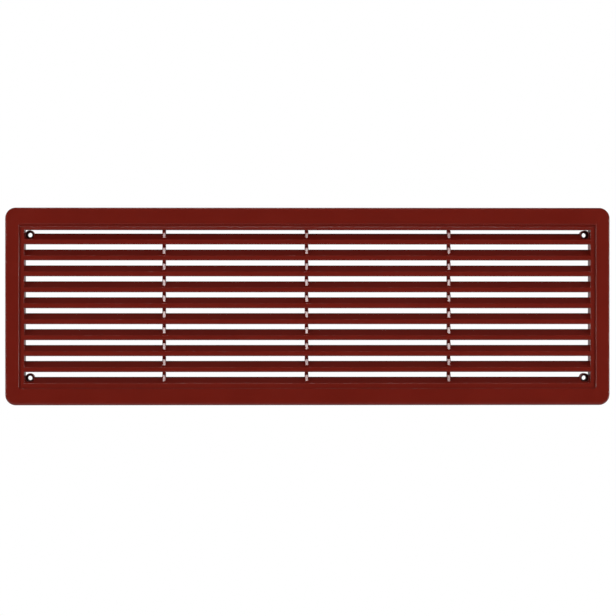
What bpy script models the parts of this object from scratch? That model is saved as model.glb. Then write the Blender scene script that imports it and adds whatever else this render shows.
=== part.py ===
"""Door ventilation grille with fixed louvre slats, as the separate pieces of its assembly.

Metres, +Z up, X along the width. The front faces -Y. The plane Y = 0 is the back of the
flange, which bears on the door, and the origin is the middle of the grille on that plane.
"""

import math

import bmesh
import bpy
from mathutils import Matrix, Vector

MM = 0.001

# Louvre slats: an upright nose in front and an inclined blade behind it
SLAT_COUNT = 9
SLAT_PITCH = 10.55 * MM
NOSE_HEIGHT = 3.05 * MM
NOSE_THICKNESS = 1.6 * MM
NOSE_ROUNDING = 0.7 * MM
BLADE_DEPTH = 6.6 * MM
BLADE_RISE = 4.15 * MM
BLADE_THICKNESS = 1.6 * MM
TENON_LENGTH = 1.0 * MM

# Opening in the face frame, measured at the land
OPENING_WIDTH = 375.3 * MM
HEAD_GAP = 2.4 * MM

# Face frame: flange, rim and recessed land
FLANGE_SIDE = 8.9 * MM
FLANGE_TOP = 11.1 * MM
CORNER_RADIUS = 7.0 * MM
FLANGE_ROUNDING = 1.3 * MM
FLANGE_WALL = 1.6 * MM
FLANGE_LIP = 1.4 * MM
RIM_WALL = 1.2 * MM
RECESS_DEPTH = 1.2 * MM
RIM_ROUNDING = 0.4 * MM
RIM_CORNER = 0.6 * MM
LAND_WIDTH = 3.45 * MM
LAND_THICKNESS = 1.5 * MM
SEAT_DEPTH = 0.7 * MM

# Rear collar, which goes into the cut-out of the door
COLLAR_WALL = 2.2 * MM
COLLAR_STEP = 1.2 * MM
COLLAR_REACH = 11.0 * MM
COLLAR_DRAFT = 0.35 * MM
COLLAR_CORNER = 3.0 * MM
COLLAR_LEAD_IN = 0.8 * MM

# Upright ribs behind the noses
RIB_NAMES = ("rib_left", "rib_centre", "rib_right")
RIB_WIDTH = 2.4 * MM
RIB_SETBACK = 2.5 * MM
RIB_SPINE = 3.3 * MM

# Screw bosses at the four corners of the opening
BOSS_BORE = 3.3 * MM
BOSS_WALL = 0.95 * MM
BOSS_CHAMFER = 0.3 * MM
BOSS_SETBACK = 3.2 * MM
BOSS_SIDE_GAP = 1.5 * MM
BOSS_EDGE_GAP = 0.95 * MM

# Gap between two pieces that touch on the real product
CLEARANCE = 0.3 * MM

# Facets
ARC_STEPS = 4
CORNER_STEPS = 8
ROUND_STEPS = 32
CUT_EXTRA = 2.0 * MM
WELD = 0.000001

# Depths, all worked out from the door face at Y = 0
LAND_BACK_Y = -SEAT_DEPTH
LAND_Y = LAND_BACK_Y - LAND_THICKNESS
FRONT_Y = LAND_Y - RECESS_DEPTH
COLLAR_FRONT_Y = LAND_BACK_Y + CLEARANCE
COLLAR_REAR_Y = COLLAR_REACH
BLADE_REAR_Y = LAND_Y + BLADE_DEPTH
RIB_FRONT_Y = LAND_Y + RIB_SETBACK
RIB_REAR_Y = BLADE_REAR_Y + CLEARANCE + RIB_SPINE
BOSS_FRONT_Y = LAND_Y + BOSS_SETBACK

# Half sizes of the rectangles round the opening
BLADE_SLOPE = BLADE_RISE / BLADE_DEPTH
BLADE_DROP = BLADE_THICKNESS * math.hypot(1.0, BLADE_SLOPE)
OPENING_HALF_X = OPENING_WIDTH / 2
OPENING_HALF_Z = (SLAT_COUNT * SLAT_PITCH + BLADE_RISE + HEAD_GAP) / 2
RIM_HALF_X = OPENING_HALF_X + LAND_WIDTH
RIM_HALF_Z = OPENING_HALF_Z + LAND_WIDTH
OUTER_HALF_X = RIM_HALF_X + FLANGE_SIDE
OUTER_HALF_Z = RIM_HALF_Z + FLANGE_TOP
BORE_HALF_X = OPENING_HALF_X
BORE_HALF_Z = OPENING_HALF_Z + COLLAR_STEP
COLLAR_HALF_X = BORE_HALF_X + COLLAR_WALL
COLLAR_HALF_Z = BORE_HALF_Z + COLLAR_WALL

# Places of the repeated pieces
SILL_NOSE_TOP = -OPENING_HALF_Z
RIB_SPACING = 2 * (OPENING_HALF_X + COLLAR_WALL / 2) / (len(RIB_NAMES) + 1)
BOSS_RADIUS = BOSS_BORE / 2 + BOSS_WALL
BOSS_X = OPENING_HALF_X - BOSS_SIDE_GAP - BOSS_RADIUS
BOSS_Z = OPENING_HALF_Z - BOSS_EDGE_GAP - BOSS_RADIUS

# Red-brown plastic, a little glossier on the ribs
PLASTIC_COLOR = (0.136, 0.0123, 0.0070)
PLASTIC_ROUGHNESS = 0.36
RIB_ROUGHNESS = 0.22

# Turns an outline drawn in x and y into one that stands in the Y-Z or the X-Z plane
ALONG_X = Matrix(((0, 0, 1), (1, 0, 0), (0, 1, 0))).to_4x4()
ALONG_Y = Matrix(((1, 0, 0), (0, 0, -1), (0, 1, 0))).to_4x4()
ALONG_Z = Matrix.Identity(4)


def empty_scene():
    """Removes what the scene holds."""
    for old in list(bpy.data.objects):
        bpy.data.objects.remove(old, do_unlink=True)


def new_collection(name, owner=None):
    """A collection of that name, inside another one or straight in the scene."""
    collection = bpy.data.collections.new(name)
    if owner is None:
        owner = bpy.context.scene.collection
    owner.children.link(collection)
    return collection


def plastic(name, roughness=PLASTIC_ROUGHNESS):
    """The red-brown plastic of one piece."""
    material = bpy.data.materials.new(name + "_plastic")
    material.use_nodes = True
    shader = material.node_tree.nodes["Principled BSDF"]
    shader.inputs["Base Color"].default_value = (*PLASTIC_COLOR, 1.0)
    shader.inputs["Roughness"].default_value = roughness
    shader.inputs["Metallic"].default_value = 0.0
    material.diffuse_color = (*PLASTIC_COLOR, 1.0)
    return material


def finish(piece, collection, roughness=PLASTIC_ROUGHNESS):
    """Puts a piece in its collection with its own material and smooth rounded faces."""
    collection.objects.link(piece)
    piece.data.materials.clear()
    piece.data.materials.append(plastic(piece.name, roughness))
    piece.data.shade_smooth()
    piece.data.set_sharp_from_angle(angle=math.radians(35))
    return piece


def hide_cutter(cutter, collection):
    """Puts a cutter in its collection, out of the render."""
    collection.objects.link(cutter)
    cutter.hide_render = True
    cutter.display_type = "WIRE"
    return cutter


def evaluated_mesh(source):
    """The mesh of an object as its modifiers or its curve settings make it."""
    graph = bpy.context.evaluated_depsgraph_get()
    graph.update()
    return bpy.data.meshes.new_from_object(source.evaluated_get(graph), depsgraph=graph)


def prism(name, outline, thickness, placing, centre=(0.0, 0.0, 0.0), hole=None):
    """A flat outline, filled and made a closed mesh of that thickness about its centre."""
    curve = bpy.data.curves.new(name, "CURVE")
    curve.dimensions = "2D"
    curve.fill_mode = "BOTH"
    curve.extrude = thickness / 2
    for points in (outline, hole) if hole else (outline,):
        spline = curve.splines.new("POLY")
        spline.points.add(len(points) - 1)
        for point, (x, y) in zip(spline.points, points):
            point.co = (x, y, 0.0, 1.0)
        spline.use_cyclic_u = True
    drawing = bpy.data.objects.new(name + "_outline", curve)
    drawing.matrix_world = Matrix.Translation(centre) @ placing
    bpy.context.scene.collection.objects.link(drawing)
    mesh = evaluated_mesh(drawing)
    mesh.name = name
    body = bpy.data.objects.new(name, mesh)
    mesh.transform(drawing.matrix_world)
    bpy.data.objects.remove(drawing, do_unlink=True)
    weld(mesh)
    return body


def weld(mesh):
    """Joins the loose caps of a mesh to its sides and points all faces out."""
    work = bmesh.new()
    work.from_mesh(mesh)
    bmesh.ops.remove_doubles(work, verts=work.verts, dist=WELD)
    bmesh.ops.recalc_face_normals(work, faces=work.faces)
    work.to_mesh(mesh)
    work.free()


def boolean(piece, operation, **operand):
    """Adds an exact Boolean, with one object or one collection as its operand."""
    modifier = piece.modifiers.new(operation.lower(), "BOOLEAN")
    modifier.operation = operation
    modifier.solver = "EXACT"
    if "collection" in operand:
        modifier.operand_type = "COLLECTION"
        modifier.collection = operand["collection"]
    else:
        modifier.object = operand["cutter"]
    return modifier


def bake(piece):
    """Replaces a piece's mesh by what its modifiers make of it."""
    mesh = evaluated_mesh(piece)
    piece.modifiers.clear()
    piece.data = mesh
    mesh.name = piece.name


def round_edges(piece, radius, steps, chosen):
    """Rounds those edges of a piece whose two ends both pass the test."""
    work = bmesh.new()
    work.from_mesh(piece.data)
    edges = []
    for edge in work.edges:
        sharp = edge.is_manifold and edge.calc_face_angle() > math.radians(30)
        if sharp and all(chosen(vertex.co) for vertex in edge.verts):
            edges.append(edge)
    bmesh.ops.bevel(work, geom=edges, offset=radius, segments=steps, profile=0.5,
                    affect="EDGES", clamp_overlap=True)
    work.to_mesh(piece.data)
    work.free()


def near(value, target):
    """Whether two lengths are the same, within what a mesh rounds off."""
    return abs(value - target) < 10 * WELD


def arc(centre, radius, start, end, steps):
    """Points of an arc, with angles in degrees."""
    points = []
    for step in range(steps + 1):
        angle = math.radians(start + (end - start) * step / steps)
        points.append((centre[0] + radius * math.cos(angle), centre[1] + radius * math.sin(angle)))
    return points


def rounded_rectangle(half_x, half_y, radius, steps):
    """Outline of a rectangle with round corners, counter-clockwise."""
    points = []
    corners = ((1, 1, 0), (-1, 1, 90), (-1, -1, 180), (1, -1, 270))
    for side_x, side_y, start in corners:
        centre = (side_x * (half_x - radius), side_y * (half_y - radius))
        points += arc(centre, radius, start, start + 90, steps)
    return points


def grown(outline, amount):
    """A counter-clockwise outline with every side moved out by that amount."""
    points = [Vector(point) for point in outline]
    count = len(points)
    result = []
    for index, point in enumerate(points):
        before = (point - points[index - 1]).normalized()
        after = (points[(index + 1) % count] - point).normalized()
        out_before = Vector((before.y, -before.x))
        out_after = Vector((after.y, -after.x))
        shift = (out_before + out_after) * amount / (1.0 + out_before.dot(out_after))
        result.append(tuple(point + shift))
    return result


def blade_top(nose_top, y):
    """Height of the upper side of a blade at that depth."""
    return nose_top + BLADE_SLOPE * (y - LAND_Y)


def slat_section(nose_top):
    """Section of a slat in the Y-Z plane: nose, blade, and the bare back of the nose."""
    nose_back = LAND_Y + NOSE_THICKNESS
    nose_low = nose_top - NOSE_HEIGHT
    return [
        (LAND_Y, nose_low),
        (nose_back, nose_low),
        (nose_back, blade_top(nose_top, nose_back) - BLADE_DROP),
        (BLADE_REAR_Y, blade_top(nose_top, BLADE_REAR_Y) - BLADE_DROP),
        (BLADE_REAR_Y, blade_top(nose_top, BLADE_REAR_Y)),
        (LAND_Y, nose_top),
    ]


def rounded_nose(section):
    """The section of a slat with the lower front edge of its nose rounded."""
    low = section[0]
    centre = (low[0] + NOSE_ROUNDING, low[1] + NOSE_ROUNDING)
    return arc(centre, NOSE_ROUNDING, 180, 270, ARC_STEPS) + section[1:]


def bore_half(half, y):
    """Half size of the collar's tapered bore at that depth."""
    share = (y - COLLAR_FRONT_Y) / (COLLAR_REAR_Y - COLLAR_FRONT_Y)
    return half - COLLAR_DRAFT * share


def sill_section():
    """Section of the sill slat: a foot on the collar's lower wall, and a blade."""
    foot_back = COLLAR_FRONT_Y + NOSE_THICKNESS
    foot_low = -bore_half(BORE_HALF_Z, foot_back) + CLEARANCE
    rear_top = blade_top(SILL_NOSE_TOP, BLADE_REAR_Y)
    return [
        (COLLAR_FRONT_Y, foot_low),
        (foot_back, foot_low),
        (foot_back, blade_top(SILL_NOSE_TOP, foot_back) - BLADE_DROP),
        (BLADE_REAR_Y, rear_top - BLADE_DROP),
        (BLADE_REAR_Y, rear_top),
        (COLLAR_FRONT_Y, blade_top(SILL_NOSE_TOP, COLLAR_FRONT_Y)),
    ]


def slat_nose_top(number):
    """Height of a slat's nose top, with slat 1 at the top of the grille."""
    return SILL_NOSE_TOP + (SLAT_COUNT + 1 - number) * SLAT_PITCH


def tapered_block(name, half_x, half_z, front, rear, taper):
    """A block that narrows from its front to its rear by the taper on each side."""
    mesh = bpy.data.meshes.new(name)
    work = bmesh.new()
    made = bmesh.ops.create_cube(work, size=1.0)
    for vertex in made["verts"]:
        inset = taper if vertex.co.y > 0 else 0.0
        vertex.co.x = math.copysign(half_x - inset, vertex.co.x)
        vertex.co.z = math.copysign(half_z - inset, vertex.co.z)
        vertex.co.y = rear if vertex.co.y > 0 else front
    bmesh.ops.recalc_face_normals(work, faces=work.faces)
    work.to_mesh(mesh)
    work.free()
    return bpy.data.objects.new(name, mesh)


def cylinder_along_y(name, radius, front, rear, x, z):
    """A closed cylinder along the depth."""
    mesh = bpy.data.meshes.new(name)
    work = bmesh.new()
    turn = Matrix.Rotation(math.radians(90), 4, "X")
    place = Matrix.Translation((x, (front + rear) / 2, z))
    bmesh.ops.create_cone(work, cap_ends=True, segments=ROUND_STEPS, radius1=radius,
                          radius2=radius, depth=rear - front, matrix=place @ turn)
    bmesh.ops.recalc_face_normals(work, faces=work.faces)
    work.to_mesh(mesh)
    work.free()
    return bpy.data.objects.new(name, mesh)


def make_slat_cutters(slat_gaps, sill_gap):
    """Slat sections grown by the clearance, for the collar's housings and the ribs' slots."""
    length = 2 * (OPENING_HALF_X + TENON_LENGTH + CLEARANCE)
    for number in range(1, SLAT_COUNT + 1):
        outline = grown(slat_section(slat_nose_top(number)), CLEARANCE)
        hide_cutter(prism(f"slat_gap_{number}", outline, length, ALONG_X), slat_gaps)
    outline = grown(sill_section(), CLEARANCE)
    hide_cutter(prism("sill_gap", outline, length, ALONG_X), sill_gap)


def make_boss_cutters(groups):
    """Clearance for the bosses, one group for the top slat and one for the sill slat."""
    radius = BOSS_RADIUS + CLEARANCE
    for group, z in zip(groups, (BOSS_Z, -BOSS_Z)):
        for x in (-BOSS_X, BOSS_X):
            name = f"{group.name}_{'left' if x < 0 else 'right'}"
            front = FRONT_Y - CUT_EXTRA
            hide_cutter(cylinder_along_y(name, radius, front, COLLAR_REAR_Y, x, z), group)


def make_end_cutters(group):
    """Blocks that take a slat's nose off its tenons, in front of the collar."""
    shoulder = OPENING_HALF_X - CLEARANCE
    outer = OPENING_HALF_X + TENON_LENGTH + CUT_EXTRA
    middle = ((shoulder + outer) / 2, (COLLAR_FRONT_Y + FRONT_Y) / 2)
    for side, name in ((-1, "slat_end_left"), (1, "slat_end_right")):
        mesh = bpy.data.meshes.new(name)
        work = bmesh.new()
        bmesh.ops.create_cube(work, size=1.0)
        size = Matrix.Diagonal((outer - shoulder, COLLAR_FRONT_Y - FRONT_Y, 2 * RIM_HALF_Z, 1.0))
        place = Matrix.Translation((side * middle[0], middle[1], 0.0))
        work.transform(place @ size)
        work.to_mesh(mesh)
        work.free()
        hide_cutter(bpy.data.objects.new(name, mesh), group)


def face_frame_opening():
    """The through opening, whose lower side slopes up as the blades do."""
    front = FRONT_Y - CUT_EXTRA
    rear = CUT_EXTRA
    outline = [
        (front, SILL_NOSE_TOP),
        (LAND_Y, SILL_NOSE_TOP),
        (rear, blade_top(SILL_NOSE_TOP, rear)),
        (rear, OPENING_HALF_Z),
        (front, OPENING_HALF_Z),
    ]
    return prism("opening", outline, OPENING_WIDTH, ALONG_X)


def flange_hollow():
    """The channel in the flange's back, which leaves an even wall, an outer lip and a rim wall."""
    front = FRONT_Y + FLANGE_WALL
    outer = rounded_rectangle(OUTER_HALF_X - FLANGE_LIP, OUTER_HALF_Z - FLANGE_LIP,
                              CORNER_RADIUS - FLANGE_LIP, CORNER_STEPS)
    inner = rounded_rectangle(RIM_HALF_X + RIM_WALL, RIM_HALF_Z + RIM_WALL,
                              RIM_CORNER + RIM_WALL, CORNER_STEPS)
    return prism("flange_hollow", outer, CUT_EXTRA - front, ALONG_Y,
                 (0.0, (CUT_EXTRA + front) / 2, 0.0), inner)


def make_face_frame(parts, cutters):
    """Flange with a hollow back, rim, recessed land, and the seat of the collar."""
    outline = rounded_rectangle(OUTER_HALF_X, OUTER_HALF_Z, CORNER_RADIUS, CORNER_STEPS)
    frame = prism("face_frame", outline, -FRONT_Y, ALONG_Y, (0.0, FRONT_Y / 2, 0.0))
    parts.objects.link(frame)

    recess_front = FRONT_Y - CUT_EXTRA
    recess_outline = rounded_rectangle(RIM_HALF_X, RIM_HALF_Z, RIM_CORNER, ARC_STEPS)
    recess = prism("recess", recess_outline, LAND_Y - recess_front, ALONG_Y,
                   (0.0, (LAND_Y + recess_front) / 2, 0.0))

    seat_outline = rounded_rectangle(COLLAR_HALF_X + CLEARANCE, COLLAR_HALF_Z + CLEARANCE,
                                     COLLAR_CORNER + CLEARANCE, CORNER_STEPS)
    seat = prism("collar_seat", seat_outline, CUT_EXTRA - LAND_BACK_Y, ALONG_Y,
                 (0.0, (CUT_EXTRA + LAND_BACK_Y) / 2, 0.0))

    for cutter in (face_frame_opening(), recess, seat, flange_hollow()):
        hide_cutter(cutter, cutters)
        boolean(frame, "DIFFERENCE", cutter=cutter)
    bake(frame)
    parts.objects.unlink(frame)

    def on_flange_edge(point):
        outside = abs(point.x) > RIM_HALF_X + WELD or abs(point.z) > RIM_HALF_Z + WELD
        return near(point.y, FRONT_Y) and outside

    def on_rim_edge(point):
        inside = abs(point.x) < RIM_HALF_X + WELD and abs(point.z) < RIM_HALF_Z + WELD
        return near(point.y, FRONT_Y) and inside

    def on_land_edge(point):
        at_side = near(abs(point.x), OPENING_HALF_X)
        return near(point.y, LAND_Y) and (at_side or near(point.z, OPENING_HALF_Z))

    round_edges(frame, RIM_ROUNDING, 2, on_rim_edge)
    round_edges(frame, FLANGE_ROUNDING, ARC_STEPS, on_flange_edge)
    round_edges(frame, RIM_ROUNDING, 2, on_land_edge)
    return finish(frame, parts)


def make_rear_collar(parts, cutters, slat_gaps):
    """Ring with a tapered bore, a lead-in at its rear, and housings for the slats' ends."""
    outline = rounded_rectangle(COLLAR_HALF_X, COLLAR_HALF_Z, COLLAR_CORNER, CORNER_STEPS)
    collar = prism("rear_collar", outline, COLLAR_REAR_Y - COLLAR_FRONT_Y, ALONG_Y,
                   (0.0, (COLLAR_REAR_Y + COLLAR_FRONT_Y) / 2, 0.0))
    round_edges(collar, COLLAR_LEAD_IN, 2, lambda point: near(point.y, COLLAR_REAR_Y))

    front = COLLAR_FRONT_Y - CUT_EXTRA
    rear = COLLAR_REAR_Y + CUT_EXTRA
    half_x = bore_half(BORE_HALF_X, front)
    half_z = bore_half(BORE_HALF_Z, front)
    taper = half_x - bore_half(BORE_HALF_X, rear)
    bore = tapered_block("collar_bore", half_x, half_z, front, rear, taper)
    hide_cutter(bore, cutters)
    boolean(collar, "DIFFERENCE", cutter=bore)
    boolean(collar, "DIFFERENCE", collection=slat_gaps)
    return finish(collar, parts)


def make_slat(number, parts, end_blocks, boss_gap):
    """One slat, with a tenon at each end and, where a boss passes, a hole for it."""
    section = rounded_nose(slat_section(slat_nose_top(number)))
    length = 2 * (OPENING_HALF_X + TENON_LENGTH)
    slat = prism(f"louvre_slat_{number}", section, length, ALONG_X)
    boolean(slat, "DIFFERENCE", collection=end_blocks)
    if number == 1:
        boolean(slat, "DIFFERENCE", collection=boss_gap)
    return finish(slat, parts)


def make_sill_slat(parts, boss_gap):
    """The blade behind the land's lower side, standing on the collar's lower wall."""
    length = 2 * (bore_half(BORE_HALF_X, BLADE_REAR_Y) - CLEARANCE)
    sill = prism("sill_slat", sill_section(), length, ALONG_X)
    boolean(sill, "DIFFERENCE", collection=boss_gap)
    return finish(sill, parts)


def make_rib(name, x, parts, slat_gaps, sill_gap):
    """One rib: a comb whose teeth stand between the slats, with a full round front."""
    radius = RIB_WIDTH / 2
    outline = arc((x, RIB_FRONT_Y + radius), radius, 180, 360, 2 * ARC_STEPS)
    outline += [(x + radius, RIB_REAR_Y), (x - radius, RIB_REAR_Y)]
    half_length = bore_half(BORE_HALF_Z, RIB_REAR_Y) - CLEARANCE
    rib = prism(name, outline, 2 * half_length, ALONG_Z)
    boolean(rib, "DIFFERENCE", collection=slat_gaps)
    boolean(rib, "DIFFERENCE", collection=sill_gap)
    return finish(rib, parts, RIB_ROUGHNESS)


def make_screw_boss(name, x, z, parts):
    """A tube for a screw, turned from its profile, with a chamfered mouth at the front."""
    length = COLLAR_REAR_Y - BOSS_FRONT_Y
    inner = BOSS_BORE / 2
    profile = [
        (BOSS_RADIUS, length),
        (BOSS_RADIUS, 0.0),
        (inner, 0.0),
        (inner, length - BOSS_CHAMFER),
        (inner + BOSS_CHAMFER, length),
    ]
    mesh = bpy.data.meshes.new(name)
    vertices = [(radius, 0.0, height) for radius, height in profile]
    edges = [(index, (index + 1) % len(profile)) for index in range(len(profile))]
    mesh.from_pydata(vertices, edges, [])
    boss = bpy.data.objects.new(name, mesh)
    turn = boss.modifiers.new("turn", "SCREW")
    turn.axis = "Z"
    turn.steps = ROUND_STEPS
    turn.render_steps = ROUND_STEPS
    turn.use_merge_vertices = True
    turn.merge_threshold = WELD
    boss.matrix_world = Matrix.Translation((x, COLLAR_REAR_Y, z)) @ ALONG_Y
    return finish(boss, parts)


def main():
    empty_scene()
    parts = new_collection("door_ventilation_grille")
    cutters = new_collection("cutters")
    slat_gaps = new_collection("slat_gaps", cutters)
    sill_gap = new_collection("sill_gaps", cutters)
    end_blocks = new_collection("slat_ends", cutters)
    top_bosses = new_collection("top_boss_gap", cutters)
    bottom_bosses = new_collection("bottom_boss_gap", cutters)
    make_slat_cutters(slat_gaps, sill_gap)
    make_boss_cutters((top_bosses, bottom_bosses))
    make_end_cutters(end_blocks)

    make_face_frame(parts, cutters)
    make_rear_collar(parts, cutters, slat_gaps)
    for number in range(1, SLAT_COUNT + 1):
        make_slat(number, parts, end_blocks, top_bosses)
    make_sill_slat(parts, bottom_bosses)
    for index, name in enumerate(RIB_NAMES):
        x = (index - (len(RIB_NAMES) - 1) / 2) * RIB_SPACING
        make_rib(name, x, parts, slat_gaps, sill_gap)
    for row, z in (("top", BOSS_Z), ("bottom", -BOSS_Z)):
        for side, x in (("left", -BOSS_X), ("right", BOSS_X)):
            make_screw_boss(f"screw_boss_{row}_{side}", x, z, parts)


main()
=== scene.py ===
"""Looks for the door ventilation grille: finer moulded pieces round the frame of CAD solids."""
import math

import bmesh
import bpy
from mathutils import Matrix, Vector


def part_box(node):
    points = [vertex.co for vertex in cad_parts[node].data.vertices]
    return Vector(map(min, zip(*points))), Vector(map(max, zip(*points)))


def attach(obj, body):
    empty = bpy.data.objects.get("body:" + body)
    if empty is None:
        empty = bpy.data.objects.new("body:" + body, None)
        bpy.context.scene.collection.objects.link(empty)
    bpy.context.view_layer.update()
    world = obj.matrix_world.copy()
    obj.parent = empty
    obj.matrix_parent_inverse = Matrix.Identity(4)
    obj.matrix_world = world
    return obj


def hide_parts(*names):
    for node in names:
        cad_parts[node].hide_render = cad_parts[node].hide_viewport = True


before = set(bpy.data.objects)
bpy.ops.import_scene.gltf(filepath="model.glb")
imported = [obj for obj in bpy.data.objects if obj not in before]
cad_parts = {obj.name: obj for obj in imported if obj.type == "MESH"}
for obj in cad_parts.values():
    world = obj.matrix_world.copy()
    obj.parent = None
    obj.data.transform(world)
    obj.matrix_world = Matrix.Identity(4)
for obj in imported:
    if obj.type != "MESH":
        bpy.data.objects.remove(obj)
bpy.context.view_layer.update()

MM = 0.001


def mm(*lengths):
    """Lengths in millimetres, as a tuple in metres."""
    return tuple(length * MM for length in lengths)


# Depths, from front to rear: the front faces -Y and the door's face is at Y = 0
FRONT_Y = -3.4 * MM
LAND_Y = -2.2 * MM
GROOVE_Y = -1.85 * MM
HOLLOW_Y = -1.8 * MM
POCKET_Y = -1.2 * MM
LAND_BACK_Y = -0.7 * MM
NOSE_BACK_Y = -0.6 * MM
RIB_FOOT_Y = -0.3 * MM
DOOR_Y = 0.0
BOSS_FRONT_Y = 1.0 * MM
SILL_FOOT_Y = 1.2 * MM
RIB_NOTCH_Y = 3.8 * MM
BLADE_REAR_Y = 4.4 * MM
BOSS_NECK_Y = 6.0 * MM
RIB_REAR_Y = 8.0 * MM
COLLAR_REAR_Y = 11.0 * MM

# Upright rectangles: half width, half height and corner radius; then the least radius of any
# loop, the taper of the bore, and the widths of the flange's lip and the rim's wall at the back
OUTER = mm(200.0, 65.3, 7.0)
RIM = mm(190.65, 54.2, 0.6)
OPENING = mm(187.4, 50.45, 0.12)
BORE = mm(187.4, 51.95, 0.4)
COLLAR = mm(189.85, 54.15, 3.0)
LEAST_CORNER = 0.02 * MM
BORE_DRAFT = 0.35 * MM
FLANGE_LIP = 1.4 * MM
RIM_WALL = 1.2 * MM

# Where the groove's floor and the bead beside it end, in from the rim, at the ends, top and base
GROOVE_SHIFT = mm(-0.06, -1.15, -0.06)
BEAD_SHIFT = mm(-0.06, -1.5, -0.06)

# Roundings of the frame and the collar; three are those at the ends, top and base
FLANGE_FOOT_ROUNDING = 0.2 * MM
FLANGE_ROUNDING = mm(0.8, 0.7, 1.8)
RIM_ROUNDING = mm(0.7, 0.6, 0.12)
BEAD_ROUNDING = mm(0.05, 1.0, 0.05)
LAND_ROUNDING = mm(0.2, 1.2, 0.12)
HOLLOW_ROUNDING = 0.3 * MM
COLLAR_ROUNDING = 0.8 * MM
BORE_ROUNDING = 0.25 * MM

# Blades: their slope, their thickness measured upright, their upright noses, how far the sill's
# foot sinks into the collar, and how far their ends run on past the opening's
SLATS = [f"louvre_slat_{number}" for number in range(1, 10)]
SLOPE = 4.15 / 6.6
DROP = 1.6 * MM * math.hypot(1.0, SLOPE)
NOSE_HEIGHT = 3.05 * MM
NOSE_EXTRA = 0.12 * MM
NOSE_BEHIND_LAND = 0.002 * MM
SLAT_END = 1.6 * MM
SLAT_ROUNDINGS = mm(0.9, 0.3, 0.4, 0.3, 0.04, 0.15)
SILL_NOSE_TOP = -50.75 * MM
SILL_SINK = 0.05 * MM
SILL_END = 0.2 * MM
SILL_ROUNDINGS = mm(0.0, 0.0, 0.4, 0.3, 0.04, 0.0)

# Ribs: the front's lean in each bay, the heights in a bay where the lean ends, where the notch's
# floor starts and ends and where the front is back at its foot's depth, the share of the lean
# at which a supporting loop stands, half the width, and how far the ends sink into the collar
RIB_LEAN = 0.345
RIB_NOTCH = mm(4.3, 5.0, 6.5, 7.9)
RIB_NOTCH_ROUNDING = 0.4 * MM
RIB_SUPPORT_SHARE = 0.04
RIB_HALF = 1.2 * MM
RIB_SINK = 0.1 * MM
RIB_FRONT_ROUNDING = 0.45 * MM
RIB_REAR_ROUNDING = 0.3 * MM

# Screw tubes: a wide mouth down to the neck, the pocket's room round their ends, and how far
# their walls reach into the blades that they pass
BOSS_RADIUS = 3.05 * MM
BOSS_MOUTH = 2.8 * MM
BOSS_BORE = 1.47 * MM
BOSS_ROUNDINGS = mm(0.08, 0.2, 0.1, 0.15, 0.2, 0.06)
BOSS_GAP = 0.2 * MM
BOSS_OVERLAP = 0.15 * MM

# The ribs and tubes stand where the photograph has them, this far from the CAD's places
RIB_SHIFT_X = -0.75 * MM
BOSS_SHIFT_X = 0.4 * MM
BOSS_SHIFT_Z = 0.18 * MM
boss_low, boss_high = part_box("screw_boss_top_right")
BOSS_X = (boss_low.x + boss_high.x) / 2 + BOSS_SHIFT_X
BOSS_Z = (boss_low.z + boss_high.z) / 2 + BOSS_SHIFT_Z

# Steps in roundings and turned pieces, how far a supporting point stands off a rounding, the
# length taken for a corner's sides, and the angles in degrees from which an edge is sharp
COARSE_STEPS = 3
SMALL_STEPS = 4
ROUND_STEPS = 6
FINE_STEPS = 8
CORNER_STEPS = 14
TURN_STEPS = 64
SUPPORT = 0.12 * MM
FAR = 10.0 * MM
SHARP_ANGLE = 40.0
CUT_SHARP_ANGLE = 25.0

# Directions across a ring's profile, as (outwards, to the rear)
INTO, OUT, FORWARD, REARWARD = (-1, 0), (1, 0), (0, -1), (0, 1)
OUT_AND_REARWARD = (1, 1)

# The plastic: linear colours, noise scales per metre, and the roughness of each slot
PLASTIC_IOR = 1.46
CLOUD_COLOURS = ((0.133, 0.0086, 0.0042), (0.144, 0.0098, 0.0050))
FLOW_COLOUR = (0.121, 0.0074, 0.0035)
PLAIN_COLOUR = (0.136, 0.0123, 0.0070, 1.0)
CLOUD_SCALE = 30.0
FLOW_SCALE = 60.0
FLOW_STRETCH = (0.12, 1.0, 1.6)
FLOW_SHARE = 0.2
GLOSS_SCALE = 140.0
GLOSSIER = 0.015
DULLER = 0.02
GRAIN_SCALE = 2600.0
GRAIN_STRENGTH = 0.05
GRAIN_DISTANCE = 0.00002
ROUGHNESS = {
    "frame_plastic": 0.21,
    "collar_plastic": 0.21,
    "slat_plastic": 0.21,
    "rib_plastic": 0.16,
    "boss_plastic": 0.5,
}

# The world: strengths, where 1 is white, and the Y of a ray's direction between which they change
WHITE = 1.0
MIRRORED_ROOM, MIRRORED_PAPER = 0.02, 0.3
MIRRORED_SPAN = (0.90, 0.985)
LIT_BEFORE, LIT_BEHIND = 0.15, 0.9
LIT_SPAN = (0.0, 0.7)

# The floor: size, finish, its own glow for the camera, and the radii where it fades into white
FLOOR_Z = -0.55
FLOOR_RADIUS = 1.6
FLOOR_SIDES = 96
FLOOR_COLOUR = (0.5, 0.5, 0.5, 1.0)
FLOOR_ROUGHNESS = 0.9
FLOOR_GLOW = 0.75
FLOOR_FADE = (0.7, 1.5)

# The camera's place and lens, which put the flange's ends where the photograph has them
CAMERA_X = -0.06
CAMERA_Z = -0.0010
CAMERA_DISTANCE = 2.2
CAMERA_LENS = 194.5
CAMERA_SENSOR = 36.0
CAMERA_CLIP = (0.05, 30.0)
CAMERA_SHIFT = 0.03
CAMERA_AIM_X = -0.0122


def blade_top(nose_top, y):
    """Height of a blade's upper side at that depth."""
    return nose_top + SLOPE * (y - LAND_Y)


def nose_top_of(node):
    """Height of the top of a slat's nose, from the CAD node's lowest point."""
    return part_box(node)[0].z + NOSE_HEIGHT


def grown(rectangle, length):
    """A rectangle that is larger all round by a length, or smaller where it is negative."""
    return tuple(size + length for size in rectangle)


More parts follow.
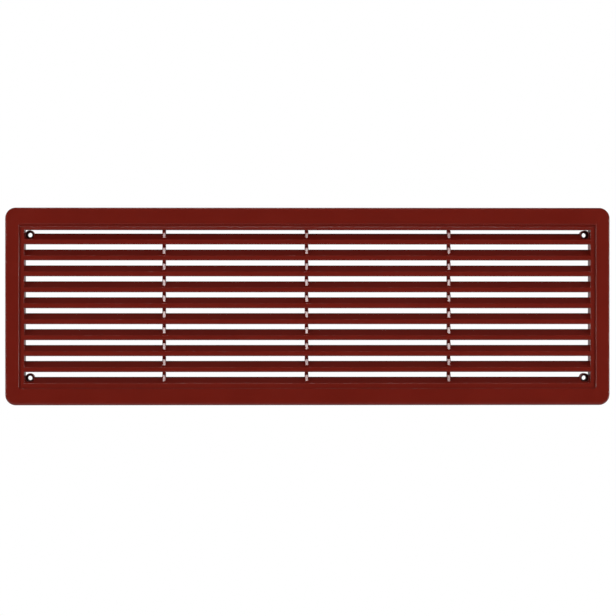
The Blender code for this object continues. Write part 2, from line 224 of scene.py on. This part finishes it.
def fillet(previous, corner, following, radius, steps=ROUND_STEPS):
    """Points that round a corner of an outline, with a support point on each side."""
    corner = Vector(corner)
    back = Vector(previous) - corner
    ahead = Vector(following) - corner
    if radius <= 0.0:
        return [tuple(corner)]
    room = min(back.length, ahead.length)
    back.normalize()
    ahead.normalize()
    half = back.angle(ahead) / 2
    tangent = radius / math.tan(half)
    centre = corner + (back + ahead).normalized() * (radius / math.sin(half))
    start = corner + back * tangent - centre
    end = corner + ahead * tangent - centre
    turn = start.angle(end)
    supported = room > tangent + 2 * SUPPORT
    points = []
    if supported:
        points.append(tuple(corner + back * (tangent + SUPPORT)))
    for step in range(steps + 1):
        share = step / steps
        mixed = start * math.sin((1 - share) * turn) + end * math.sin(share * turn)
        points.append(tuple(centre + mixed / math.sin(turn)))
    if supported:
        points.append(tuple(corner + ahead * (tangent + SUPPORT)))
    return points


def rounded_outline(corners, radii, steps=ROUND_STEPS):
    """A closed outline whose corners are rounded, each by its own radius."""
    points = []
    for index, corner in enumerate(corners):
        following = corners[(index + 1) % len(corners)]
        points += fillet(corners[index - 1], corner, following, radii[index], steps)
    return points


def mesh_object(name, work):
    """An object from a bmesh, smooth but for its sharp edges."""
    bmesh.ops.recalc_face_normals(work, faces=work.faces)
    mesh = bpy.data.meshes.new(name)
    work.to_mesh(mesh)
    work.free()
    mesh.shade_smooth()
    mesh.set_sharp_from_angle(angle=math.radians(SHARP_ANGLE))
    piece = bpy.data.objects.new(name, mesh)
    bpy.context.scene.collection.objects.link(piece)
    return piece


def skinned(name, loops, closed):
    """A skin from each loop of points to the next: a closed ring, or a bar with two end faces."""
    work = bmesh.new()
    rows = [[work.verts.new(point) for point in loop] for loop in loops]
    rows_after = rows[1:] + rows[:1] if closed else rows[1:]
    count = len(rows[0])
    for row, following in zip(rows, rows_after):
        for index in range(count):
            after = (index + 1) % count
            work.faces.new((row[index], row[after], following[after], following[index]))
    if not closed:
        work.faces.new(rows[0])
        work.faces.new(rows[-1])
    return mesh_object(name, work)


def bar_along_x(name, section, half):
    """A bar along the width, with its section in Y and Z."""
    return skinned(name, [[(x, *point) for point in section] for x in (-half, half)], closed=False)


def turned(x, z, radius, y, step):
    """A point of a turned piece whose axis runs along the depth."""
    angle = math.tau * step / TURN_STEPS
    return (x + radius * math.cos(angle), y, z + radius * math.sin(angle))


def cylinder_along_y(name, radius, front, rear, x, z):
    """A closed cylinder along the depth."""
    steps = range(TURN_STEPS)
    loops = [[turned(x, z, radius, y, step) for step in steps] for y in (front, rear)]
    return skinned(name, loops, closed=False)


def rectangle_loop(half_x, top, bottom, radius, y):
    """Points round a rectangle with round corners, always as many."""
    radius = max(radius, LEAST_CORNER)
    points = []
    corners = (
        (half_x - radius, top - radius, 0),
        (-half_x + radius, top - radius, 90),
        (-half_x + radius, bottom + radius, 180),
        (half_x - radius, bottom + radius, 270),
    )
    for x, z, start in corners:
        for step in range(CORNER_STEPS + 1):
            angle = math.radians(start + 90 * step / CORNER_STEPS)
            points.append((x + radius * math.cos(angle), y, z + radius * math.sin(angle)))
    return points


def ring(name, stations):
    """A closed ring through loops, each (rectangle, offsets of ends, top and base, y, lift)."""
    loops = []
    for (half_x, half_z, radius), (ends, top, base), y, lift in stations:
        bottom = -half_z - base + lift
        loops.append(rectangle_loop(half_x + ends, half_z + top, bottom, radius + ends, y))
    return skinned(name, loops, closed=True)


def station_run(rectangle, y, back, ahead, radii=0.0, steps=ROUND_STEPS, lifted=False,
                shift=(0, 0, 0)):
    """Loops that round one corner of a ring's profile, whose sides run back and ahead of it.

    One radius serves all round, and three are those of the ends, top and base, as the shift is.
    A lifted loop's base follows the upper side of the sill's blade.
    """
    if not isinstance(radii, tuple):
        radii = (radii, radii, radii)
    widest = max(radii)
    sense = ahead[0] or back[0]
    before = (back[0] * FAR, y + back[1] * FAR)
    after = (ahead[0] * FAR, y + ahead[1] * FAR)
    run = []
    for offset, depth in fillet(before, (0.0, y), after, widest, steps):
        lift = 0.0
        if lifted:
            lift = SILL_NOSE_TOP + OPENING[1] + SLOPE * max(0.0, depth - LAND_Y)
        offsets = []
        for radius, extra in zip(radii, shift):
            here = offset
            if radius < widest:
                left_over = max(0.0, radius - abs(depth - y))
                here = sense * (radius - math.sqrt(radius * radius - left_over * left_over))
            offsets.append(here + extra)
        run.append((rectangle, offsets, depth, lift))
    return run


def cut(piece, cutter):
    """Takes a cutter off a piece, and the cutter out of the scene."""
    modifier = piece.modifiers.new("cut", "BOOLEAN")
    modifier.operation = "DIFFERENCE"
    modifier.solver = "EXACT"
    modifier.object = cutter
    graph = bpy.context.evaluated_depsgraph_get()
    graph.update()
    mesh = bpy.data.meshes.new_from_object(piece.evaluated_get(graph), depsgraph=graph)
    piece.modifiers.clear()
    piece.data = mesh
    mesh.shade_smooth()
    mesh.set_sharp_from_angle(angle=math.radians(CUT_SHARP_ANGLE))
    bpy.data.objects.remove(cutter, do_unlink=True)


def plastic(slot, roughness):
    """Moulded red-brown plastic: flow marks, a fine satin grain and a slightly uneven gloss."""
    material = bpy.data.materials.new(slot)
    material.use_nodes = True
    tree = material.node_tree
    nodes = tree.nodes
    links = tree.links
    shader = nodes["Principled BSDF"]
    shader.inputs["Metallic"].default_value = 0.0
    shader.inputs["IOR"].default_value = PLASTIC_IOR
    place = nodes.new("ShaderNodeTexCoord")

    def noise(scale, detail, stretch=(1.0, 1.0, 1.0)):
        mapping = nodes.new("ShaderNodeMapping")
        mapping.inputs["Scale"].default_value = stretch
        texture = nodes.new("ShaderNodeTexNoise")
        texture.inputs["Scale"].default_value = scale
        texture.inputs["Detail"].default_value = detail
        links.new(place.outputs["Object"], mapping.inputs["Vector"])
        links.new(mapping.outputs["Vector"], texture.inputs["Vector"])
        return texture.outputs["Fac"]

    def ramp(source, low, high, to_low, to_high):
        node = nodes.new("ShaderNodeMapRange")
        node.inputs["From Min"].default_value = low
        node.inputs["From Max"].default_value = high
        node.inputs["To Min"].default_value = to_low
        node.inputs["To Max"].default_value = to_high
        links.new(source, node.inputs["Value"])
        return node.outputs["Result"]

    def mix(factor, first, second):
        node = nodes.new("ShaderNodeMix")
        node.data_type = "RGBA"
        links.new(factor, node.inputs["Factor"])
        for socket, colour in ((node.inputs["A"], first), (node.inputs["B"], second)):
            if isinstance(colour, tuple):
                socket.default_value = (*colour, 1.0)
            else:
                links.new(colour, socket)
        return node.outputs["Result"]

    clouds = ramp(noise(CLOUD_SCALE, detail=3.0), low=0.35, high=0.65, to_low=0.0, to_high=1.0)
    flow = ramp(noise(FLOW_SCALE, detail=4.0, stretch=FLOW_STRETCH),
                low=0.35, high=0.65, to_low=0.0, to_high=FLOW_SHARE)
    grain = noise(GRAIN_SCALE, detail=2.0)
    base = mix(flow, mix(clouds, *CLOUD_COLOURS), FLOW_COLOUR)
    links.new(base, shader.inputs["Base Color"])
    rough = ramp(noise(GLOSS_SCALE, detail=3.0), low=0.3, high=0.7,
                 to_low=roughness - GLOSSIER, to_high=roughness + DULLER)
    links.new(rough, shader.inputs["Roughness"])
    bump = nodes.new("ShaderNodeBump")
    bump.inputs["Strength"].default_value = GRAIN_STRENGTH
    bump.inputs["Distance"].default_value = GRAIN_DISTANCE
    links.new(grain, bump.inputs["Height"])
    links.new(bump.outputs["Normal"], shader.inputs["Normal"])
    material.diffuse_color = PLAIN_COLOUR
    return material


PLASTICS = {slot: plastic(slot, roughness) for slot, roughness in ROUGHNESS.items()}


def stands_for(piece, node, slot):
    """Puts a finer piece in the place of its CAD node, with the plastic of its slot."""
    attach(piece, "root")
    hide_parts(node)
    piece.data.materials.clear()
    piece.data.materials.append(PLASTICS[slot])


def make_frame():
    """Flange with a hollow back, rim, groove, bead and recessed land, in one ring."""
    lip = grown(OUTER, -FLANGE_LIP)
    rim_wall = grown(RIM, RIM_WALL)
    stations = [
        *station_run(OUTER, DOOR_Y, INTO, FORWARD, FLANGE_FOOT_ROUNDING, COARSE_STEPS),
        *station_run(OUTER, FRONT_Y, REARWARD, INTO, FLANGE_ROUNDING, FINE_STEPS),
        *station_run(RIM, FRONT_Y, OUT, REARWARD, RIM_ROUNDING),
        *station_run(RIM, GROOVE_Y, FORWARD, INTO),
        *station_run(RIM, GROOVE_Y, FORWARD, INTO, shift=GROOVE_SHIFT),
        *station_run(RIM, LAND_Y, OUT_AND_REARWARD, INTO, BEAD_ROUNDING, shift=BEAD_SHIFT),
        *station_run(OPENING, LAND_Y, OUT, REARWARD, LAND_ROUNDING, lifted=True),
        *station_run(OPENING, LAND_BACK_Y, FORWARD, OUT, lifted=True),
        *station_run(COLLAR, LAND_BACK_Y, INTO, REARWARD),
        *station_run(COLLAR, DOOR_Y, FORWARD, OUT),
        *station_run(rim_wall, DOOR_Y, INTO, FORWARD),
        *station_run(rim_wall, HOLLOW_Y, REARWARD, OUT, HOLLOW_ROUNDING, COARSE_STEPS),
        *station_run(lip, HOLLOW_Y, INTO, REARWARD, HOLLOW_ROUNDING, COARSE_STEPS),
        *station_run(lip, DOOR_Y, FORWARD, OUT),
    ]
    stands_for(ring("flange_and_land", stations), "face_frame", "frame_plastic")


def make_collar():
    """Ring behind the flange, with a tapered bore and a rounded rear."""
    narrow = (BORE[0] - BORE_DRAFT, BORE[1] - BORE_DRAFT, BORE[2])
    stations = [
        *station_run(COLLAR, LAND_BACK_Y, INTO, REARWARD),
        *station_run(COLLAR, COLLAR_REAR_Y, FORWARD, INTO, COLLAR_ROUNDING),
        *station_run(narrow, COLLAR_REAR_Y, OUT, FORWARD, BORE_ROUNDING, SMALL_STEPS),
        *station_run(BORE, LAND_BACK_Y, REARWARD, OUT),
    ]
    stands_for(ring("collar_ring", stations), "rear_collar", "collar_plastic")


def blade_section(nose_top, front, front_top, foot_back, foot_low, roundings):
    """Section of an inclined blade on an upright foot, rounded from the foot's front edge on."""
    corners = [
        (front, foot_low),
        (foot_back, foot_low),
        (foot_back, blade_top(nose_top, foot_back) - DROP),
        (BLADE_REAR_Y, blade_top(nose_top, BLADE_REAR_Y) - DROP),
        (BLADE_REAR_Y, blade_top(nose_top, BLADE_REAR_Y)),
        (front, front_top),
    ]
    return rounded_outline(corners, roundings)


def cut_for_bosses(piece, z):
    """Leaves room for two screw tubes: a pocket before their ends, and a hole that they fill."""
    for x in (-BOSS_X, BOSS_X):
        cut(piece, cylinder_along_y(
            "pocket", BOSS_RADIUS + BOSS_GAP, POCKET_Y, BOSS_FRONT_Y, x, z))
        cut(piece, cylinder_along_y(
            "tube", BOSS_RADIUS - BOSS_OVERLAP, DOOR_Y, BLADE_REAR_Y + MM, x, z))


def make_slats():
    """Nine slats, whose upright noses stand in line with the land and end behind its sides."""
    for number, node in enumerate(SLATS, 1):
        nose_top = nose_top_of(node)
        section = blade_section(nose_top, LAND_Y + NOSE_BEHIND_LAND, nose_top, NOSE_BACK_Y,
                                nose_top - NOSE_HEIGHT - NOSE_EXTRA, SLAT_ROUNDINGS)
        piece = bar_along_x(f"louvre_blade_{number}", section, OPENING[0] + SLAT_END)
        if number == 1:
            cut_for_bosses(piece, BOSS_Z)
        stands_for(piece, node, "slat_plastic")


def make_sill():
    """The blade behind the land's lower side, with its foot on the collar."""
    section = blade_section(SILL_NOSE_TOP, LAND_BACK_Y, blade_top(SILL_NOSE_TOP, LAND_BACK_Y),
                            SILL_FOOT_Y, -BORE[1] - SILL_SINK, SILL_ROUNDINGS)
    piece = bar_along_x("sill_blade", section, OPENING[0] + SILL_END)
    cut_for_bosses(piece, -BOSS_Z)
    stands_for(piece, "sill_slat", "slat_plastic")


def rib_stations():
    """Heights and front depths of a rib: it leans back in each bay, up to a notch at the top."""
    bottom = -BORE[1] - RIB_SINK
    foot = (RIB_FOOT_Y - LAND_Y) * SLOPE
    lean_top, notch_low, notch_high, bay_top = RIB_NOTCH
    stations = [(bottom, RIB_FOOT_Y)]
    for nose_top in [SILL_NOSE_TOP] + [nose_top_of(node) for node in reversed(SLATS)]:
        start = nose_top + foot
        bay = [
            (start, RIB_FOOT_Y),
            (start + lean_top, RIB_FOOT_Y + RIB_LEAN * lean_top),
            (start + notch_low, RIB_NOTCH_Y),
        ]
        near = Vector(bay[0]).lerp(Vector(bay[1]), RIB_SUPPORT_SHARE)
        stations += [bay[0], tuple(near), *fillet(*bay, RIB_NOTCH_ROUNDING, SMALL_STEPS)]
        stations += [bay[2], (start + notch_high, RIB_NOTCH_Y), (start + bay_top, RIB_FOOT_Y)]
    stations[-1] = (-bottom, RIB_FOOT_Y)
    return stations


def make_ribs():
    """Three combs with rounded front edges, whose front leans back in each bay."""
    radii = [RIB_FRONT_ROUNDING, RIB_REAR_ROUNDING, RIB_REAR_ROUNDING, RIB_FRONT_ROUNDING]
    stations = rib_stations()
    for side in ("left", "centre", "right"):
        low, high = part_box(f"rib_{side}")
        x = (low.x + high.x) / 2 + RIB_SHIFT_X
        right, left = x + RIB_HALF, x - RIB_HALF
        loops = []
        for z, front in stations:
            corners = [(right, front), (right, RIB_REAR_Y), (left, RIB_REAR_Y), (left, front)]
            loops.append([(*point, z) for point in rounded_outline(corners, radii)])
        piece = skinned(f"stiffening_rib_{side}", loops, closed=False)
        stands_for(piece, f"rib_{side}", "rib_plastic")


def make_bosses():
    """Four screw tubes with a deep mouth and a neck at the rear, turned from one profile."""
    corners = [
        (BOSS_RADIUS, BOSS_FRONT_Y),
        (BOSS_RADIUS, COLLAR_REAR_Y),
        (BOSS_BORE, COLLAR_REAR_Y),
        (BOSS_BORE, BOSS_NECK_Y),
        (BOSS_MOUTH, BOSS_NECK_Y),
        (BOSS_MOUTH, BOSS_FRONT_Y),
    ]
    profile = rounded_outline(corners, BOSS_ROUNDINGS, SMALL_STEPS)
    for row, z in (("top", BOSS_Z), ("bottom", -BOSS_Z)):
        for side, x in (("left", -BOSS_X), ("right", BOSS_X)):
            loops = [[turned(x, z, radius, y, step) for radius, y in profile]
                     for step in range(TURN_STEPS)]
            piece = skinned(f"screw_tube_{row}_{side}", loops, closed=True)
            stands_for(piece, f"screw_boss_{row}_{side}", "boss_plastic")


def aim(thing, place, target):
    """Puts a lamp or camera at a place, looking at a target."""
    thing.location = place
    thing.rotation_euler = (Vector(target) - Vector(place)).to_track_quat("-Z", "Y").to_euler()
    bpy.context.scene.collection.objects.link(thing)


def softbox(name, place, width, height, power):
    """A rectangular lamp that faces the middle of the grille and that the camera doesn't see."""
    lamp = bpy.data.lights.new(name, "AREA")
    lamp.shape = "RECTANGLE"
    lamp.size = width
    lamp.size_y = height
    lamp.energy = power
    box = bpy.data.objects.new(name, lamp)
    aim(box, place, (0.0, 0.0, 0.0))
    box.visible_camera = False


def make_lights():
    """Soft studio light: low and high boxes in front, slim ones at the sides, two behind."""
    softbox("front_low", (0.0, -1.26, 0.985), width=0.62, height=0.13, power=6.1)
    softbox("front_high", (0.0, -0.80, 1.38), width=1.2, height=0.5, power=1.2)
    for side, name in ((-1, "left"), (1, "right")):
        softbox(f"side_{name}", (side * 1.33, -0.86, -0.12), width=0.13, height=0.85, power=13.6)
        softbox(f"back_{name}", (side * 1.05, 1.25, 0.15), width=0.5, height=0.9, power=7.0)


def shader_tree(tree):
    """Short ways to make the emission, mix and range nodes of the world and the floor."""
    nodes = tree.nodes
    links = tree.links

    def glow(kind, strength):
        node = nodes.new(kind)
        node.inputs["Color"].default_value = (1.0, 1.0, 1.0, 1.0)
        node.inputs["Strength"].default_value = strength
        return node.outputs[0]

    def blend(factor, first, second):
        node = nodes.new("ShaderNodeMixShader")
        links.new(factor, node.inputs["Fac"])
        links.new(first, node.inputs[1])
        links.new(second, node.inputs[2])
        return node.outputs["Shader"]

    def span(source, low, high):
        node = nodes.new("ShaderNodeMapRange")
        node.interpolation_type = "SMOOTHSTEP"
        node.inputs["From Min"].default_value = low
        node.inputs["From Max"].default_value = high
        links.new(source, node.inputs["Value"])
        return node.outputs["Result"]

    def seen_ray(names):
        """1 for a ray of any of those kinds."""
        rays = nodes.new("ShaderNodeLightPath")
        found = rays.outputs[names[0]]
        for name in names[1:]:
            either = nodes.new("ShaderNodeMath")
            either.operation = "MAXIMUM"
            links.new(found, either.inputs[0])
            links.new(rays.outputs[name], either.inputs[1])
            found = either.outputs["Value"]
        return found

    return glow, blend, span, seen_ray


def make_world():
    """White for what the camera sees; in mirrors a dim room, with pale paper straight behind."""
    world = bpy.data.worlds.new("studio")
    world.use_nodes = True
    bpy.context.scene.world = world
    tree = world.node_tree
    nodes = tree.nodes
    glow, blend, span, seen_ray = shader_tree(tree)

    def room(strength):
        return glow("ShaderNodeBackground", strength)

    place = nodes.new("ShaderNodeTexCoord")
    parts = nodes.new("ShaderNodeSeparateXYZ")
    tree.links.new(place.outputs["Generated"], parts.inputs["Vector"])
    depth = parts.outputs["Y"]
    mirrored = blend(span(depth, *MIRRORED_SPAN), room(MIRRORED_ROOM), room(MIRRORED_PAPER))
    soft = blend(span(depth, *LIT_SPAN), room(LIT_BEFORE), room(LIT_BEHIND))
    lit = blend(seen_ray(["Is Glossy Ray"]), soft, mirrored)
    surface = blend(seen_ray(["Is Camera Ray", "Is Transmission Ray"]), lit, room(WHITE))
    tree.links.new(surface, nodes["World Output"].inputs["Surface"])


def make_floor():
    """A plain pale floor well below the grille, which keeps the shadow and fades into white."""
    work = bmesh.new()
    bmesh.ops.create_circle(work, cap_ends=True, segments=FLOOR_SIDES, radius=FLOOR_RADIUS)
    floor = mesh_object("floor", work)
    floor.location = (0.0, 0.0, FLOOR_Z)
    material = bpy.data.materials.new("floor_paper")
    material.use_nodes = True
    tree = material.node_tree
    nodes = tree.nodes
    links = tree.links
    glow, blend, span, seen_ray = shader_tree(tree)
    paper = nodes["Principled BSDF"]
    paper.inputs["Base Color"].default_value = FLOOR_COLOUR
    paper.inputs["Roughness"].default_value = FLOOR_ROUGHNESS
    place = nodes.new("ShaderNodeTexCoord")
    away = nodes.new("ShaderNodeVectorMath")
    away.operation = "LENGTH"
    links.new(place.outputs["Object"], away.inputs[0])
    bright = nodes.new("ShaderNodeAddShader")
    links.new(paper.outputs["BSDF"], bright.inputs[0])
    links.new(glow("ShaderNodeEmission", FLOOR_GLOW), bright.inputs[1])
    faded = blend(span(away.outputs["Value"], *FLOOR_FADE), bright.outputs["Shader"],
                  glow("ShaderNodeEmission", WHITE))
    surface = blend(seen_ray(["Is Camera Ray", "Is Transmission Ray"]),
                    paper.outputs["BSDF"], faded)
    links.new(surface, nodes["Material Output"].inputs["Surface"])
    floor.data.materials.append(material)


def make_camera():
    """A long lens, a little left of the middle, as the walls at the ends of the gaps show."""
    data = bpy.data.cameras.new("camera")
    data.sensor_width = CAMERA_SENSOR
    data.clip_start, data.clip_end = CAMERA_CLIP
    data.lens = CAMERA_LENS
    data.shift_x = CAMERA_SHIFT
    camera = bpy.data.objects.new("camera", data)
    aim(camera, (CAMERA_X, FRONT_Y - CAMERA_DISTANCE, CAMERA_Z), (CAMERA_AIM_X, FRONT_Y, CAMERA_Z))
    bpy.context.scene.camera = camera


make_frame()
make_collar()
make_slats()
make_sill()
make_ribs()
make_bosses()
make_lights()
make_world()
make_floor()
make_camera()
bpy.context.scene.view_settings.view_transform = "Standard"
